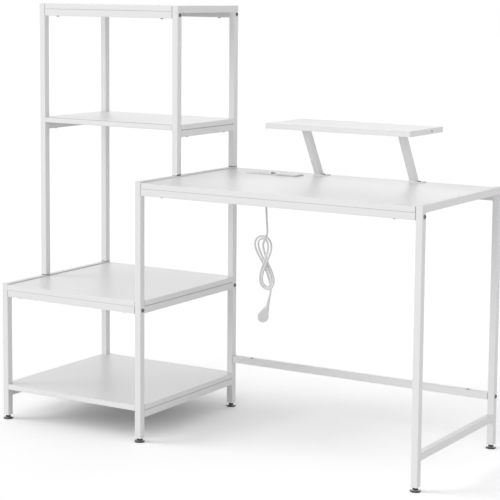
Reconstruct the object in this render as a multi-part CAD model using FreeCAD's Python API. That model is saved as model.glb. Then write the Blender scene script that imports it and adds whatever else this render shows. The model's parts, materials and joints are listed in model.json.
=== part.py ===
import FreeCAD, Part
import math
import os

# A white computer desk with a shelf tower on its left: welded frames of square steel tube, bolted
# together by cross rails, with coated boards screwed down on the rails, a small monitor shelf on two
# leaning legs, a power strip let into the desktop and its mains lead hanging in a figure-of-eight hank.
# Millimetres. X runs along the desk to the right, Y to the back, Z up. The origin is on the floor under
# the middle of the outline.

V = FreeCAD.Vector
X_AXIS, Y_AXIS, Z_AXIS = V(1, 0, 0), V(0, 1, 0), V(0, 0, 1)

# Overall layout
overall_width = 1370.0
overall_depth = 500.0
tower_width = 500.0
tower_depth = 320.0
tower_height = 1228.0
desk_height = 740.0
middle_shelf_height = 405.0
bottom_shelf_height = 106.0
upper_shelf_height = 889.0
foot_rail_height = 100.0
stretcher_height = 160.0

# Square tube and boards
tube = 20.0
tube_wall = 1.2
tube_corner = 1.5
board = 16.0
board_gap = 0.4
board_edge = 0.8
frame_lip = 3.0

# Fits and fasteners
bore_fit = 0.1
bolt_radius = 3.0
bolt_head_radius = 5.5
bolt_head_height = 3.0
bolt_dome = 2.2
bolt_socket_width = 4.0
bolt_socket_depth = 1.8
bolt_clearance = 0.3
nut_length = 14.0
nut_bite = 12.0
thread_fit = 0.05
screw_radius = 2.0
screw_head_radius = 4.2
screw_head_height = 2.4
screw_dome = 1.4
screw_slot_width = 1.0
screw_slot_reach = 2.5
screw_slot_depth = 1.0
screw_bite = 11.0
screw_clearance = 0.3
shelf_screw_inset = 42.0
desk_screw_inset = 65.0

# Plugs that join the upper posts to the lower frames
post_flange = 1.0
post_flange_inset = 1.0
post_plug_length = 24.0
post_stud_radius = 5.0
post_stud_length = 14.0
post_stud_fit = 0.1

# Levelling feet
foot_height = 12.0
foot_pad_radius = 14.0
foot_pad_height = 6.5
foot_pad_edge = 1.5
foot_collar_radius = 7.5
foot_stud_radius = 4.0
foot_stud_length = 30.0
insert_length = 20.0

# Monitor shelf on its leaning legs
riser_from_end = 165.0
riser_width = 460.0
riser_depth = 208.0
riser_height = 160.0
riser_leg_spacing = 310.0
riser_back_inset = 0.0
riser_leg_lean = 84.0
riser_leg_back_inset = 12.0
riser_plate = 3.0
riser_plate_margin = 7.0
riser_bolt_offset = 11.0
riser_bolt_radius = 2.5
riser_bolt_head_radius = 4.8
riser_bolt_head_height = 2.6
riser_bolt_dome = 1.6
riser_bolt_front_inset = 8.0
riser_bolt_bite = 12.0
riser_top_plate_width = 60.0
riser_top_screw_offset = 20.0
riser_screw_bite = 12.0
dowel_hole_radius = 2.0
dowel_hole_depth = 10.0
dowel_hole_from_back = 72.0

# Power strip let into the desktop
strip_from_tower = 100.0
strip_from_back = 66.0
strip_rim = 4.0
strip_corner = 4.0
strip_face = 3.0
strip_face_raise = 1.2
strip_body_depth = 44.0
strip_wall = 2.0
strip_fit = 0.3
outlet_count = 2
outlet_radius = 12.0
outlet_margin = 11.0
outlet_land = 4.0
outlet_depth = 9.0
blade_slot_length = 7.0
blade_slot_width = 1.8
blade_pitch = 12.7
blade_slot_depth = 7.0
ground_hole_radius = 2.4
ground_hole_drop = 6.0
switch_gap = 9.0
usb_gap = 3.0
usb_inset = 4.0
usb_margin = 1.0
usb_width = 14.0
usb_depth = 14.0
usb_height = 9.0
usb_port_length = 12.0
usb_port_width = 4.6
usb_port_depth = 7.0
usb_port_pitch = 6.4
usb_tongue = 1.8
rocker_length = 27.0
rocker_width = 12.0
rocker_rise = 1.5
rocker_depth = 4.0
rocker_tilt = 6.0
rocker_fit = 0.35
rocker_pivot_drop = 6.0
rocker_pin_radius = 1.5
rocker_pin_fit = 0.05
rocker_pin_end = 0.3
cheek_wall = 2.0
cheek_length = 10.0
cheek_skirt = 1.5
cover_gap = 2.5
cover_length = 70.0
cover_margin = 1.5
cover_height = 3.6
cover_corner = 5.0
cover_edge = 1.0

# Mains lead: gland, drop, figure-of-eight hank and moulded plug
cord_diameter = 6.5
gland_from_left = 54.0
gland_from_back = 16.0
gland_length = 29.0
gland_top_radius = 6.5
gland_end_radius = 4.4
gland_flange_radius = 8.0
gland_flange = 2.0
gland_fit = 0.05
drop_route = (V(0, 0, 0), V(0, 0, -27), V(1.7, 0.3, -62.5), V(4.6, 0.2, -97))
bend_share = 0.45
hank_offset = V(-1.6, -8.2, -100)
hank_turns = 2
hank_step = 7.3
hank_top_fan = 4.5
hank_bottom_fan = 0.5
hank_rise = 4.1
hank_top_reach = 78.0
hank_bottom_reach = 69.0
hank_top_half_width = 23.0
hank_bottom_half_width = 15.5
hank_tilt = 0.11
hank_nodes_per_turn = 8
hank_entry = (
    (V(-3.6, 9.2, 79), V(-0.64, 0.06, -0.77)),
    (V(-15.5, 10.2, 57), V(0.02, 0, -1)),
    (V(-8.0, 8.6, 32), V(0.38, -0.05, -0.92)),
)
hank_exit = (
    (V(8.8, 7.2, -40), V(0.32, 0.05, -0.95)),
    (V(14.8, 9.6, -71), V(0.04, 0.02, -1)),
    (V(13.7, 9.6, -86), V(-0.24, 0, -0.97)),
)
gap_sample_step = 2.0
relief_length = 38.0
relief_end_radius = 6.0
plug_radius = 16.5
plug_thickness = 15.0
plug_neck_length = 33.0
plug_side_shift = 5.5
plug_turn = 30.0
plug_edge = 3.0
plug_shoulder = 20.0
blade_length = 17.0
blade_width = 6.3
blade_thickness = 1.5
ground_pin_radius = 2.4
ground_pin_length = 20.0
ground_pin_drop = 11.0

# Reference planes worked out from the layout
left_x = -overall_width / 2
right_x = overall_width / 2
front_y = -overall_depth / 2
back_y = overall_depth / 2
middle_x = left_x + tower_width - tube
end_x = right_x - tube
rear_y = back_y - tube
tower_y = back_y - tower_depth
bore = tube - 2 * tube_wall
desk_frame_top = desk_height + frame_lip
tower_frame_top = middle_shelf_height + frame_lip

parts = {}


def box(low, high):
    """A box between two opposite corners."""
    size = high - low
    return Part.makeBox(size.x, size.y, size.z, low)


def along(shape, axis):
    """The straight edges of a shape that run along an axis."""
    found = []
    for edge in shape.Edges:
        direction = edge.tangentAt(edge.FirstParameter)
        if abs(direction.dot(axis)) > 0.999:
            found.append(edge)
    return found


def rounded_box(low, high, axis, radius):
    """A box whose edges along one axis are rounded."""
    shape = box(low, high)
    return shape.makeFillet(radius, along(shape, axis))


def square_tube(low, high, axis, cap_high=False):
    """A square steel tube with rounded corners, open at its ends unless the high one is capped."""
    inset = V(tube_wall, tube_wall, tube_wall)
    start = low + inset - axis * tube_wall
    end = high - inset
    if not cap_high:
        end += axis * tube_wall
    return rounded_box(low, high, axis, tube_corner).cut(box(start, end))


def upright(name, x, y, bottom, top):
    """A leg or post: an upright tube with a closed top."""
    low = V(x, y, bottom)
    parts[name] = square_tube(low, V(x + tube, y + tube, top), Z_AXIS, cap_high=True)


def side_rail(name, x, front, rear, top):
    """A rail of a side frame, welded between a front and a rear upright."""
    low = V(x, front, top - tube)
    parts[name] = square_tube(low, V(x + tube, rear, top), Y_AXIS)


def rod(base, axis, radius, length):
    """A round bar."""
    return Part.makeCylinder(radius, length, base, axis)


def hexagon(base, axis, width, height):
    """A six-sided bar, width measured across its flats."""
    radius = width / math.sqrt(3)
    across = Z_AXIS if abs(axis.z) < 0.5 else X_AXIS
    spoke = across * radius
    points = []
    for corner in range(7):
        points.append(base + FreeCAD.Rotation(axis, 60 * corner).multVec(spoke))
    return Part.Face(Part.makePolygon(points)).extrude(axis * height)


def domed_head(base, axis, radius, height, dome):
    """A low screw head, rounded over on its outer edge."""
    head = rod(base, axis, radius, height)
    rim = [edge for edge in head.Edges if (edge.BoundBox.Center - base).dot(axis) > height * 0.9]
    return head.makeFillet(dome, rim)


def hex_bolt(face, axis, shank):
    """A button-head bolt whose head sits on a face and whose shank runs along an axis."""
    out = axis * -1
    head = domed_head(face, out, bolt_head_radius, bolt_head_height, bolt_dome)
    socket_floor = face + out * (bolt_head_height - bolt_socket_depth)
    head = head.cut(hexagon(socket_floor, out, bolt_socket_width, bolt_socket_depth))
    return head.fuse(rod(face, axis, bolt_radius, shank)).removeSplitter()


def slotted_screw(face, bite):
    """A pan-head screw driven upwards, with a cross slot in its head."""
    head = domed_head(face, Z_AXIS * -1, screw_head_radius, screw_head_height, screw_dome)
    half = screw_slot_width / 2
    low = face.z - screw_head_height
    high = low + screw_slot_depth
    for long_x, long_y in ((screw_slot_reach, half), (half, screw_slot_reach)):
        corner = V(face.x - long_x, face.y - long_y, low)
        head = head.cut(box(corner, V(face.x + long_x, face.y + long_y, high)))
    return head.fuse(rod(face, Z_AXIS, screw_radius, bite)).removeSplitter()


def drill(name, base, axis, radius, length):
    """Drill one hole in a named part."""
    parts[name] = parts[name].cut(rod(base, axis, radius, length))


# Lower and upper side frames; the lower ones stand a lip above the boards that lie between them
legs = {
    "left_front_leg": (left_x, front_y, tower_frame_top),
    "left_rear_leg": (left_x, rear_y, tower_frame_top),
    "middle_front_leg": (middle_x, front_y, desk_frame_top),
    "middle_rear_leg": (middle_x, rear_y, desk_frame_top),
    "right_front_leg": (end_x, front_y, desk_frame_top),
    "right_rear_leg": (end_x, rear_y, desk_frame_top),
}
for leg_name, (leg_x, leg_y, leg_top) in legs.items():
    upright(leg_name, leg_x, leg_y, foot_height, leg_top)

posts = {
    "upper_left_front_post": (left_x, tower_y, tower_frame_top, "left_top_rail"),
    "upper_left_rear_post": (left_x, rear_y, tower_frame_top, "left_rear_leg"),
    "upper_right_front_post": (middle_x, tower_y, desk_frame_top, "middle_top_rail"),
    "upper_right_rear_post": (middle_x, rear_y, desk_frame_top, "middle_rear_leg"),
}
for post_name, (post_x, post_y, post_base, carrier) in posts.items():
    upright(post_name, post_x, post_y, post_base + post_flange, tower_height)

lower_front = front_y + tube
upper_front = tower_y + tube
shelf_seat = {
    "bottom": bottom_shelf_height - board,
    "middle": middle_shelf_height - board,
    "upper": upper_shelf_height - board,
    "top": tower_height - board,
    "desk": desk_height - board,
}
side_rail("left_top_rail", left_x, lower_front, rear_y, tower_frame_top)
side_rail("left_bottom_rail", left_x, lower_front, rear_y, shelf_seat["bottom"])
side_rail("middle_top_rail", middle_x, lower_front, rear_y, desk_frame_top)
side_rail("middle_shelf_rail", middle_x, lower_front, rear_y, shelf_seat["middle"])
side_rail("middle_bottom_rail", middle_x, lower_front, rear_y, shelf_seat["bottom"])
side_rail("right_top_rail", end_x, lower_front, rear_y, desk_frame_top)
side_rail("right_bottom_rail", end_x, lower_front, rear_y, foot_rail_height)
side_rail("upper_left_top_rail", left_x, upper_front, rear_y, tower_height)
side_rail("upper_left_shelf_rail", left_x, upper_front, rear_y, shelf_seat["upper"])
side_rail("upper_right_top_rail", middle_x, upper_front, rear_y, tower_height)
side_rail("upper_right_shelf_rail", middle_x, upper_front, rear_y, shelf_seat["upper"])

# Plugs that seat the upper posts: a flange, a square plug up into the post, a stud down into the frame
plugs = []
for post_name, (post_x, post_y, post_base, carrier) in posts.items():
    center = V(post_x + tube / 2, post_y + tube / 2, post_base)
    half_flange = tube / 2 - post_flange_inset
    half_plug = bore / 2 - bore_fit
    flange_low = center - V(half_flange, half_flange, 0)
    plug = box(flange_low, center + V(half_flange, half_flange, post_flange))
    plug_low = center + V(-half_plug, -half_plug, post_flange)
    plug = plug.fuse(box(plug_low, center + V(half_plug, half_plug, post_flange + post_plug_length)))
    plug = plug.fuse(rod(center, Z_AXIS * -1, post_stud_radius, post_stud_length))
    plugs.append(plug.removeSplitter())
    drill(carrier, center, Z_AXIS * -1, post_stud_radius + post_stud_fit, 2 * tube_wall)
parts["post_plugs"] = Part.makeCompound(plugs)

# Cross rails bolted between the frames, each with a threaded plug in both ends
tower_span = (left_x + tube, middle_x)
desk_span = (middle_x + tube, end_x)
cross_rails = {
    "top_front_rail": (
        tower_span, tower_y, shelf_seat["top"],
        "upper_left_front_post", "upper_right_front_post",
    ),
    "top_rear_rail": (
        tower_span, rear_y, shelf_seat["top"],
        "upper_left_rear_post", "upper_right_rear_post",
    ),
    "middle_front_rail": (tower_span, front_y, shelf_seat["middle"], "left_front_leg", "middle_front_leg"),
    "middle_rear_rail": (tower_span, rear_y, shelf_seat["middle"], "left_rear_leg", "middle_rear_leg"),
    "desk_front_rail": (desk_span, front_y, shelf_seat["desk"], "middle_front_leg", "right_front_leg"),
    "desk_rear_rail": (desk_span, rear_y, shelf_seat["desk"], "middle_rear_leg", "right_rear_leg"),
    "back_stretcher": (desk_span, rear_y, stretcher_height, "middle_rear_leg", "right_rear_leg"),
}
bolts = []
nuts = []
for rail_name, ((start_x, stop_x), rail_y, rail_top, left_post, right_post) in cross_rails.items():
    low = V(start_x, rail_y, rail_top - tube)
    parts[rail_name] = square_tube(low, V(stop_x, rail_y + tube, rail_top), X_AXIS)
    middle = V(0, rail_y + tube / 2, rail_top - tube / 2)
    for post_name, end, inward in ((left_post, start_x, X_AXIS), (right_post, stop_x, X_AXIS * -1)):
        outer_face = middle + X_AXIS * end - inward * tube
        drill(post_name, outer_face, inward, bolt_radius + bolt_clearance, tube)
        bolts.append(hex_bolt(outer_face, inward, tube + nut_bite))
        half = bore / 2 - bore_fit
        rail_end = middle + X_AXIS * end
        nut_low = rail_end - V(0, half, half)
        nut_low.x = min(nut_low.x, nut_low.x + inward.x * nut_length)
        nut = box(nut_low, nut_low + V(nut_length, 2 * half, 2 * half))
        nuts.append(nut.cut(rod(rail_end, inward, bolt_radius + thread_fit, nut_length)))
parts["frame_bolts"] = Part.makeCompound(bolts)
parts["rail_nuts"] = Part.makeCompound(nuts)


def panel(name, start_x, stop_x, front, top, notches=()):
    """A coated board with eased edges, notched where it passes a post."""
    shape = box(V(start_x, front, top - board), V(stop_x, back_y, top))
    for post_x, post_y in notches:
        low = V(post_x - board_gap, post_y - board_gap, top - 2 * board)
        shape = shape.cut(box(low, low + V(tube + 2 * board_gap, tube + 2 * board_gap, 3 * board)))
    flat_edges = along(shape, X_AXIS) + along(shape, Y_AXIS)
    parts[name] = shape.makeFillet(board_edge, flat_edges)


def screw_down(board_name, rail_name, places):
    """Screws up through a rail into the board that lies on it."""
    for x, y, seat in places:
        bottom = V(x, y, seat - tube)
        drill(rail_name, bottom, Z_AXIS, screw_radius + screw_clearance, tube)
        drill(board_name, V(x, y, seat), Z_AXIS, screw_radius + thread_fit, screw_bite + board_gap)
        screws.append(slotted_screw(bottom, tube + screw_bite))


# Boards
tower_left, tower_right = tower_span
desk_left, desk_right = desk_span
lower_corners = [(left_x, front_y), (left_x, rear_y)]
middle_corners = [(middle_x, front_y), (middle_x, rear_y)]
upper_corners = [(x, y) for x in (left_x, middle_x) for y in (tower_y, rear_y)]
panel("bottom_shelf", left_x, middle_x + tube, front_y, bottom_shelf_height, lower_corners + middle_corners)
panel("middle_shelf", tower_left + board_gap, middle_x + tube, front_y, middle_shelf_height, middle_corners)
panel("upper_shelf", left_x, middle_x + tube, tower_y, upper_shelf_height, upper_corners)
panel("top_shelf", tower_left + board_gap, tower_right - board_gap, tower_y, tower_height)
panel("desktop", desk_left + board_gap, desk_right - board_gap, front_y, desk_height)

screws = []
cross_seats = (
    ("top_shelf", "top_front_rail", shelf_screw_inset),
    ("top_shelf", "top_rear_rail", shelf_screw_inset),
    ("middle_shelf", "middle_front_rail", shelf_screw_inset),
    ("middle_shelf", "middle_rear_rail", shelf_screw_inset),
    ("desktop", "desk_front_rail", desk_screw_inset),
    ("desktop", "desk_rear_rail", desk_screw_inset),
)
for board_name, rail_name, inset in cross_seats:
    (start_x, stop_x), rail_y, seat, left_post, right_post = cross_rails[rail_name]
    y = rail_y + tube / 2
    screw_down(board_name, rail_name, ((start_x + inset, y, seat), (stop_x - inset, y, seat)))
side_seats = (
    ("upper_shelf", "upper_left_shelf_rail", left_x, upper_front, shelf_seat["upper"]),
    ("upper_shelf", "upper_right_shelf_rail", middle_x, upper_front, shelf_seat["upper"]),
    ("bottom_shelf", "left_bottom_rail", left_x, lower_front, shelf_seat["bottom"]),
    ("bottom_shelf", "middle_bottom_rail", middle_x, lower_front, shelf_seat["bottom"]),
)
for board_name, rail_name, rail_x, rail_front, seat in side_seats:
    x = rail_x + tube / 2
    places = ((x, rail_front + shelf_screw_inset, seat), (x, rear_y - shelf_screw_inset, seat))
    screw_down(board_name, rail_name, places)
parts["panel_screws"] = Part.makeCompound(screws)

# The stretcher is the same rail as the desk's, so it keeps that rail's screw holes, unused
for hole_x in (desk_left + desk_screw_inset, desk_right - desk_screw_inset):
    hole = V(hole_x, rear_y + tube / 2, stretcher_height - tube)
    drill("back_stretcher", hole, Z_AXIS, screw_radius + screw_clearance, tube)

# Levelling feet, and the threaded inserts in the legs that carry them
inserts = []
for leg_name, (leg_x, leg_y, leg_top) in legs.items():
    center = V(leg_x + tube / 2, leg_y + tube / 2, 0)
    half = bore / 2 - bore_fit
    low = center + V(-half, -half, foot_height)
    insert = box(low, center + V(half, half, foot_height + insert_length))
    thread = rod(center + Z_AXIS * foot_height, Z_AXIS, foot_stud_radius + thread_fit, insert_length)
    inserts.append(insert.cut(thread))
    outline = [
        V(0, 0, 0),
        V(foot_pad_radius - foot_pad_edge, 0, 0),
        V(foot_pad_radius, 0, foot_pad_edge),
        V(foot_pad_radius, 0, foot_pad_height - foot_pad_edge),
        V(foot_pad_radius - foot_pad_edge, 0, foot_pad_height),
        V(foot_collar_radius, 0, foot_pad_height),
        V(foot_collar_radius, 0, foot_height),
        V(foot_stud_radius, 0, foot_height),
        V(foot_stud_radius, 0, foot_height + foot_stud_length),
        V(0, 0, foot_height + foot_stud_length),
        V(0, 0, 0),
    ]
    foot = Part.Face(Part.makePolygon(outline)).revolve(V(0, 0, 0), Z_AXIS, 360)
    foot.translate(center)
    parts[leg_name.replace("_leg", "_foot")] = foot
parts["leg_inserts"] = Part.makeCompound(inserts)

# Monitor shelf: leaning legs on base plates at the desk's rear edge, top plates under the shelf
shelf_top = desk_height + riser_height
shelf_under = shelf_top - board
leg_low = desk_height + riser_plate
leg_high = shelf_under - riser_plate
lean_slope = riser_leg_lean / (riser_height - board)
leg_depth = tube * math.sqrt(1 + lean_slope ** 2)
leg_back = back_y - riser_leg_back_inset
leg_front = leg_back - leg_depth
top_back = leg_back - riser_leg_lean
top_front = top_back - leg_depth
riser_plates = []
riser_bolts = []
riser_screws = []
riser_right = desk_right - riser_from_end
riser_left = riser_right - riser_width
riser_center_x = (riser_left + riser_right) / 2
riser_back = back_y - riser_back_inset
riser_front = riser_back - riser_depth
monitor_shelf = box(V(riser_left, riser_front, shelf_under), V(riser_right, riser_back, shelf_top))
monitor_shelf = monitor_shelf.makeFillet(board_edge, monitor_shelf.Edges)
dowel_y = riser_back - dowel_hole_from_back
dowel = V(riser_right, dowel_y, shelf_top - board / 2)
monitor_shelf = monitor_shelf.cut(rod(dowel, X_AXIS * -1, dowel_hole_radius, dowel_hole_depth))


def leaning_tube(x, inset):
    """The leaning leg's outline in side view, carried across its width, inset for the bore."""
    skew = inset * math.sqrt(1 + lean_slope ** 2)
    low_shift = lean_slope * riser_plate
    profile = [
        V(x + inset, leg_front - low_shift + skew, leg_low),
        V(x + inset, leg_back - low_shift - skew, leg_low),
        V(x + inset, top_back + low_shift - skew, leg_high),
        V(x + inset, top_front + low_shift + skew, leg_high),
    ]
    face = Part.Face(Part.makePolygon(profile + profile[:1]))
    return face.extrude(X_AXIS * (tube - 2 * inset))


for side, leg_center in (("left", -riser_leg_spacing / 2), ("right", riser_leg_spacing / 2)):
    leg_center += riser_center_x
    leg_x = leg_center - tube / 2
    outer = leaning_tube(leg_x, 0)
    corners = [edge for edge in outer.Edges if abs(edge.tangentAt(edge.FirstParameter).z) > 0.5]
    outer = outer.makeFillet(tube_corner, corners)
    parts["riser_leg_" + side] = outer.cut(leaning_tube(leg_x, tube_wall))

    plate_right = leg_x + tube + 2 * riser_bolt_offset
    plate_front = leg_front - riser_plate_margin
    base = box(V(leg_x, plate_front, desk_height), V(plate_right, leg_back, leg_low))
    bolt_at = V(leg_x + tube + riser_bolt_offset, plate_front + riser_bolt_front_inset, leg_low)
    through = riser_bolt_radius + bolt_clearance
    base = base.cut(rod(bolt_at, Z_AXIS * -1, through, riser_plate))
    pilot_depth = riser_plate + riser_bolt_bite
    drill("desktop", bolt_at, Z_AXIS * -1, riser_bolt_radius + thread_fit, pilot_depth + board_gap)
    riser_plates.append(base)
    head = domed_head(bolt_at, Z_AXIS, riser_bolt_head_radius, riser_bolt_head_height, riser_bolt_dome)
    shank = rod(bolt_at, Z_AXIS * -1, riser_bolt_radius, pilot_depth)
    riser_bolts.append(head.fuse(shank).removeSplitter())

    half_plate = riser_top_plate_width / 2
    top_low = V(leg_center - half_plate, top_front - riser_plate_margin, leg_high)
    top = box(top_low, V(leg_center + half_plate, top_back + riser_plate_margin, shelf_under))
    for offset in (-riser_top_screw_offset, riser_top_screw_offset):
        place = V(leg_center + offset, (top_front + top_back) / 2, leg_high)
        top = top.cut(rod(place, Z_AXIS, screw_radius + screw_clearance, riser_plate))
        pilot = place + Z_AXIS * riser_plate
        monitor_shelf = monitor_shelf.cut(rod(pilot, Z_AXIS, screw_radius + thread_fit, riser_screw_bite))
        riser_screws.append(slotted_screw(place, riser_plate + riser_screw_bite - board_gap))
    riser_plates.append(top)
parts["monitor_shelf"] = monitor_shelf
parts["riser_plates"] = Part.makeCompound(riser_plates)
parts["riser_bolts"] = Part.makeCompound(riser_bolts)
parts["riser_screws"] = Part.makeCompound(riser_screws)

# Power strip: a body through the desktop, a face plate with outlets, charging ports and a rocker switch,
# as long and as wide as what it holds
outlets_length = outlet_count * 2 * outlet_radius + (outlet_count - 1) * outlet_land
rocker_start = outlet_margin + outlets_length + switch_gap
cover_start = rocker_start + rocker_length + cover_gap
strip_length = cover_start + cover_length + cover_margin
casing = strip_rim + strip_wall
rocker_bay = rocker_width + 2 * (rocker_fit + cheek_wall)
strip_width = 2 * casing + strip_fit + rocker_bay + usb_gap + usb_depth + usb_margin
strip_left = desk_left + strip_from_tower
strip_right = strip_left + strip_length
strip_back = back_y - strip_from_back
strip_front = strip_back - strip_width
face_top = desk_height + strip_face_raise
face_low = face_top - strip_face
body_low = V(strip_left + strip_rim, strip_front + strip_rim, desk_height - strip_body_depth)
body_high = V(strip_right - strip_rim, strip_back - strip_rim, face_low)
room = V(strip_fit, strip_fit, 0)
parts["desktop"] = parts["desktop"].cut(box(body_low - room, body_high + room + Z_AXIS * board))
recess_low = V(strip_left, strip_front, face_low) - room
recess = rounded_box(recess_low, V(strip_right, strip_back, face_top) + room, Z_AXIS, strip_corner)
parts["desktop"] = parts["desktop"].cut(recess)
wall = V(strip_wall, strip_wall, 0)
body = rounded_box(body_low, body_high, Z_AXIS, strip_wall)
body = body.cut(box(body_low + wall + Z_AXIS * strip_wall, body_high - wall))
face_corner = V(strip_left, strip_front, face_low)
face = rounded_box(face_corner, V(strip_right, strip_back, face_top), Z_AXIS, strip_corner)

strip_middle = (strip_front + strip_back) / 2
sockets = []
for index in range(outlet_count):
    outlet_x = strip_left + outlet_margin + outlet_radius + index * (2 * outlet_radius + outlet_land)
    center = V(outlet_x, strip_middle, face_top)
    face = face.cut(rod(center, Z_AXIS * -1, outlet_radius + bore_fit, strip_face))
    outlet = rod(center, Z_AXIS * -1, outlet_radius, outlet_depth)
    for offset in (-blade_pitch / 2, blade_pitch / 2):
        slot = center + V(offset - blade_slot_width / 2, 0, -blade_slot_depth)
        outlet = outlet.cut(box(slot, slot + V(blade_slot_width, blade_slot_length, blade_slot_depth)))
    ground = center - Y_AXIS * ground_hole_drop
    outlet = outlet.cut(rod(ground, Z_AXIS * -1, ground_hole_radius, blade_slot_depth))
    sockets.append(outlet)

usb_x = strip_left + rocker_start + usb_inset
usb_corner = V(usb_x, strip_front + casing + usb_margin, face_top - usb_height)
usb_far = usb_corner + V(usb_width, usb_depth, usb_height)
usb = box(usb_corner, usb_far)
fit = V(bore_fit, bore_fit, 0)
face = face.cut(box(usb_corner - fit, usb_far + fit))
for sign in (-1, 1):
    middle = (usb_corner + usb_far) * 0.5 + Y_AXIS * (sign * usb_port_pitch / 2)
    port_low = V(middle.x - usb_port_length / 2, middle.y - usb_port_width / 2, face_top - usb_port_depth)
    port = box(port_low, port_low + V(usb_port_length, usb_port_width, usb_port_depth))
    tongue_low = V(port_low.x + usb_tongue / 2, middle.y - usb_tongue / 2, port_low.z)
    tongue_size = V(usb_port_length - usb_tongue, usb_tongue, usb_port_depth - usb_tongue)
    usb = usb.cut(port.cut(box(tongue_low, tongue_low + tongue_size)))
sockets.append(usb)
parts["socket_inserts"] = Part.makeCompound(sockets)

# Rocker on two moulded pins, in cheeks under the face plate; its pressed half lies level
tilt = math.radians(rocker_tilt)
pivot = V(
    strip_left + rocker_start + rocker_length / 2,
    strip_back - casing - strip_fit - rocker_bay / 2,
    face_top - rocker_pivot_drop,
)
dip = rocker_pivot_drop + rocker_rise
crown = dip + math.tan(tilt) * rocker_length / 2
half_bay = rocker_width / 2 + rocker_fit
window = V(rocker_length / 2 + rocker_fit + crown * math.sin(tilt), half_bay, 0)
face = face.cut(box(pivot - window, pivot + window + Z_AXIS * (rocker_pivot_drop + strip_face)))
for side in (-1, 1):
    inner = pivot.y + side * half_bay
    outer = inner + side * cheek_wall
    cheek_low = pivot.z - rocker_pin_radius - cheek_skirt
    cheek_corner = V(pivot.x - cheek_length / 2, min(inner, outer), cheek_low)
    cheek = box(cheek_corner, V(pivot.x + cheek_length / 2, max(inner, outer), face_low))
    face = face.fuse(cheek)
pin_reach = half_bay + cheek_wall - rocker_pin_end
bearing = rod(pivot - Y_AXIS * (half_bay + cheek_wall), Y_AXIS, rocker_pin_radius + rocker_pin_fit,
              2 * (half_bay + cheek_wall))
parts["strip_face_plate"] = face.cut(bearing).removeSplitter()
outline = [
    V(-rocker_length / 2, 0, crown),
    V(0, 0, dip),
    V(rocker_length / 2, 0, crown),
    V(rocker_length / 2, 0, 0),
    V(rocker_length / 4, 0, -rocker_depth),
    V(-rocker_length / 4, 0, -rocker_depth),
    V(-rocker_length / 2, 0, 0),
]
side_view = Part.Face(Part.makePolygon(outline + outline[:1]))
side_view.translate(V(0, -rocker_width / 2, 0))
rocker = side_view.extrude(Y_AXIS * rocker_width)
rocker = rocker.fuse(rod(V(0, -pin_reach, 0), Y_AXIS, rocker_pin_radius, 2 * pin_reach)).removeSplitter()
rocker.rotate(V(0, 0, 0), Y_AXIS, rocker_tilt)
rocker.translate(pivot)
parts["rocker_switch"] = rocker

cover_low = V(strip_left + cover_start, strip_front + cover_margin, face_top)
cover_high = V(strip_right - cover_margin, strip_back - cover_margin, face_top + cover_height)
cover = rounded_box(cover_low, cover_high, Z_AXIS, cover_corner)
crown_edges = [edge for edge in cover.Edges if edge.BoundBox.ZMin > face_top + cover_height / 2]
parts["strip_cover"] = cover.makeFillet(cover_edge, crown_edges)

# Gland that the lead leaves the strip's body by
gland_top = V(strip_left + gland_from_left, strip_back - gland_from_back, body_low.z)
gland_tail = gland_top - Z_AXIS * gland_length
body = body.cut(rod(gland_top, Z_AXIS, gland_end_radius + gland_fit, strip_wall))
parts["strip_body"] = body
taper_start = gland_top - Z_AXIS * gland_flange
taper_length = gland_length - gland_flange
gland = rod(gland_top, Z_AXIS * -1, gland_flange_radius, gland_flange)
taper = Part.makeCone(gland_top_radius, gland_end_radius, taper_length, taper_start, Z_AXIS * -1)
gland = gland.fuse(taper).fuse(rod(gland_top, Z_AXIS, gland_end_radius, strip_wall + gland_flange))
parts["cord_gland"] = gland.removeSplitter()


def arc_through(start, corner, end):
    """The arc from start to end that is tangent to both lines to the corner, and its radius."""
    chord = (end - start).Length / 2
    reach = (corner - start).Length
    cosine = min(1.0, chord / reach)
    if cosine > 1 - 1e-9:
        return Part.LineSegment(start, end), math.inf
    radius = reach * cosine / math.sqrt(1 - cosine ** 2)
    middle = (start + end) * 0.5
    toward = (corner - middle).normalize()
    return Part.Arc(start, middle + toward * (radius * (1 - cosine)), end), radius


def tube_along(curves, name):
    """A round cord swept along a chain of lines and arcs, with its volume set against its length."""
    wire = Part.Wire([curve.toShape() for curve in curves])
    start = curves[0].value(curves[0].FirstParameter)
    heading = wire.OrderedEdges[0].tangentAt(wire.OrderedEdges[0].FirstParameter)
    ring = Part.Wire([Part.Circle(start, heading, cord_diameter / 2).toShape()])
    shell = Part.BRepOffsetAPI.MakePipeShell(wire)
    shell.add(ring)
    shell.build()
    shell.makeSolid()
    solid = Part.Solid(shell.shape())
    ideal = math.pi * cord_diameter ** 2 / 4 * wire.Length
    share = solid.Volume / ideal
    print("%s: length %.1f mm, volume %.4f of section times length" % (name, wire.Length, share))
    return solid, wire


def bent_route(points, name):
    """Straight runs between points, each corner rounded as widely as its shorter run allows."""
    curves = []
    radii = []
    here = points[0]
    for before, corner, after in zip(points, points[1:], points[2:]):
        reach = bend_share * min((corner - before).Length, (after - corner).Length)
        start = corner + (before - corner).normalize() * reach
        end = corner + (after - corner).normalize() * reach
        curves.append(Part.LineSegment(here, start))
        curve, radius = arc_through(start, corner, end)
        curves.append(curve)
        radii.append("%.0f" % radius)
        here = end
    curves.append(Part.LineSegment(here, points[-1]))
    print("%s: bend radii %s mm" % (name, ", ".join(radii)))
    return curves


def hank_base(angle):
    """The mean figure of eight at an angle: down to the bottom loop first, strands parted at the waist."""
    swing = math.sin(angle)
    reach = (hank_top_reach + hank_bottom_reach) / 2 - (hank_top_reach - hank_bottom_reach) / 2 * swing
    width = (hank_top_half_width + hank_bottom_half_width) / 2
    width -= (hank_top_half_width - hank_bottom_half_width) / 2 * swing
    z = -reach * swing
    return V(width * math.sin(2 * angle) - hank_tilt * z, hank_rise * math.cos(angle), z)


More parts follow.
